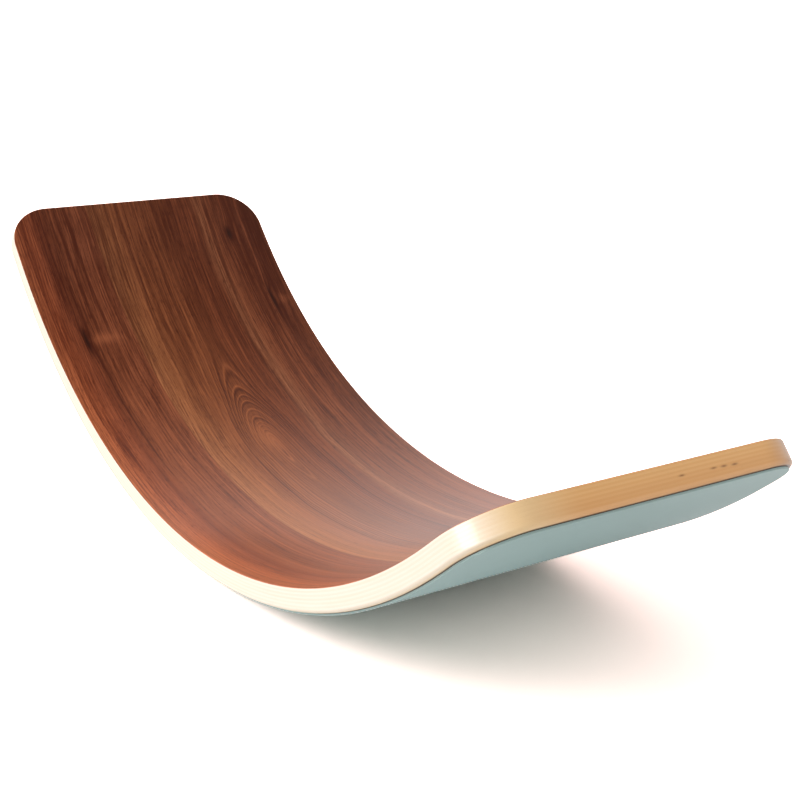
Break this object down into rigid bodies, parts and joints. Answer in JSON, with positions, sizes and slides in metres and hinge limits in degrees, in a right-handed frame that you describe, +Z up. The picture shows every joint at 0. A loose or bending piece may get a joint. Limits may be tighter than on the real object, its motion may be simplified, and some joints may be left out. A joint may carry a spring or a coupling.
{
  "type": "curved balance board",
  "caption": "Rocking board bent from plies of beech with a walnut upper face, lined underneath with linoleum, to stand, sit or lie on while it rocks.",
  "frame": {"origin": "on the floor, under the middle of the board as it rests", "axes": "+X along the board towards one tip, +Y across it, +Z up"},
  "size_m": [0.9, 0.3, 0.2199],
  "materials": {
    "walnut": "satin lacquer",
    "beech_long_grain": "satin lacquer",
    "beech_cross_grain": "satin lacquer",
    "linoleum_paper": "matte, soaked with resin",
    "linoleum": "smooth and satin"
  },
  "bodies": {
    "root": {"walnut_face": "walnut", "core_ply_01": "beech_long_grain", "core_ply_02": "beech_cross_grain", "core_ply_03": "beech_long_grain", "core_ply_04": "beech_cross_grain", "core_ply_05": "beech_long_grain", "core_ply_06": "beech_cross_grain", "core_ply_07": "beech_long_grain", "core_ply_08": "beech_cross_grain", "core_ply_09": "beech_long_grain", "core_ply_10": "beech_cross_grain", "core_ply_11": "beech_long_grain", "core_ply_12": "beech_cross_grain", "core_ply_13": "beech_long_grain", "underlay_paper": "linoleum_paper", "underlay": "linoleum"}
  },
  "joints": []
}
